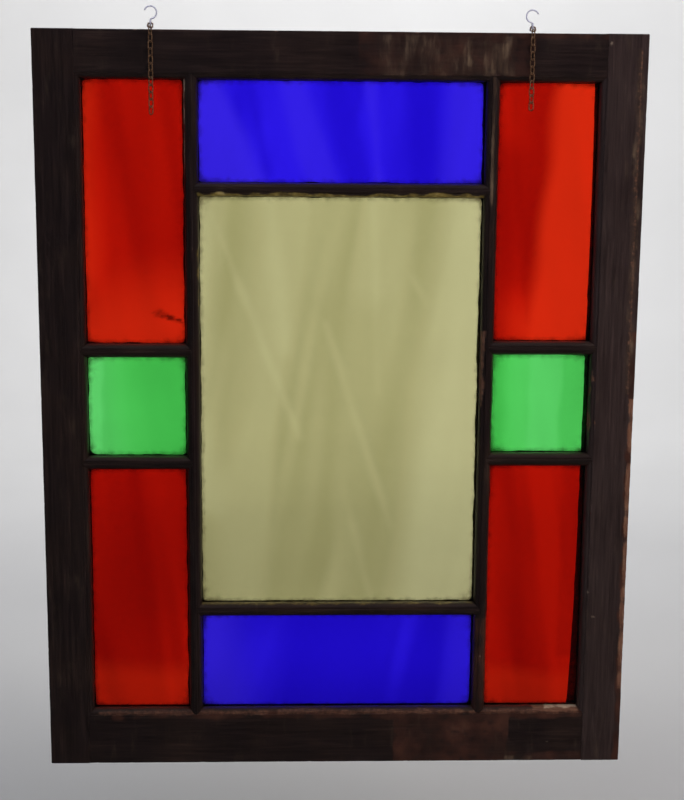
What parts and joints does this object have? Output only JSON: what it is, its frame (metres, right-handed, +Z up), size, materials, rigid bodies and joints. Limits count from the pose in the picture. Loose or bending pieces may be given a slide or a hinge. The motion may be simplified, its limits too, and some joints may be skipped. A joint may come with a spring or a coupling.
{
  "type": "coloured glass window sash",
  "caption": "Rectangular moulded wooden window sash with glazing bars and plain coloured glass panes, hung by wire hooks with short chains.",
  "frame": {"origin": "midway between the two hooks, at the height where the crowns of their bows bear", "axes": "+X to the right seen from the front, the moulded front faces -Y, +Z up"},
  "size_m": [0.762, 0.0426, 0.9835],
  "materials": {
    "stained_wood": "old softwood under dark stain and varnish, worn",
    "red_glass": "plain coloured sheet glass, clear",
    "green_glass": "plain coloured sheet glass, clear",
    "blue_glass": "plain coloured sheet glass, clear",
    "pale_glass": "pale tinted sheet glass, clear",
    "putty": "dried linseed oil putty, dirty",
    "zinc_wire": "zinc plated steel wire",
    "chain_brass": "dull brass, tarnished"
  },
  "bodies": {
    "root": {"stile_left": "stained_wood", "stile_right": "stained_wood", "rail_top": "stained_wood", "rail_bottom": "stained_wood", "muntin_left": "stained_wood", "muntin_right": "stained_wood", "bar_left_upper": "stained_wood", "bar_left_lower": "stained_wood", "bar_centre_upper": "stained_wood", "bar_centre_lower": "stained_wood", "bar_right_upper": "stained_wood", "bar_right_lower": "stained_wood", "glass_red_upper_left": "red_glass", "glass_red_lower_left": "red_glass", "glass_red_upper_right": "red_glass", "glass_red_lower_right": "red_glass", "glass_green_left": "green_glass", "glass_green_right": "green_glass", "glass_blue_top": "blue_glass", "glass_blue_bottom": "blue_glass", "glass_pale_centre": "pale_glass", "putty_red_upper_left": "putty", "putty_red_lower_left": "putty", "putty_red_upper_right": "putty", "putty_red_lower_right": "putty", "putty_green_left": "putty", "putty_green_right": "putty", "putty_blue_top": "putty", "putty_blue_bottom": "putty", "putty_pale_centre": "putty", "screw_eye_left": "zinc_wire", "screw_eye_right": "zinc_wire", "hook_left": "zinc_wire", "hook_right": "zinc_wire", "chain_left_01": "chain_brass", "chain_left_02": "chain_brass", "chain_left_03": "chain_brass", "chain_left_04": "chain_brass", "chain_left_05": "chain_brass", "chain_left_06": "chain_brass", "chain_left_07": "chain_brass", "chain_left_08": "chain_brass", "chain_left_09": "chain_brass", "chain_left_10": "chain_brass", "chain_left_11": "chain_brass", "chain_left_12": "chain_brass", "chain_left_13": "chain_brass", "chain_right_01": "chain_brass", "chain_right_02": "chain_brass", "chain_right_03": "chain_brass", "chain_right_04": "chain_brass", "chain_right_05": "chain_brass", "chain_right_06": "chain_brass", "chain_right_07": "chain_brass", "chain_right_08": "chain_brass", "chain_right_09": "chain_brass", "chain_right_10": "chain_brass", "chain_right_11": "chain_brass", "chain_right_12": "chain_brass"}
  },
  "joints": []
}
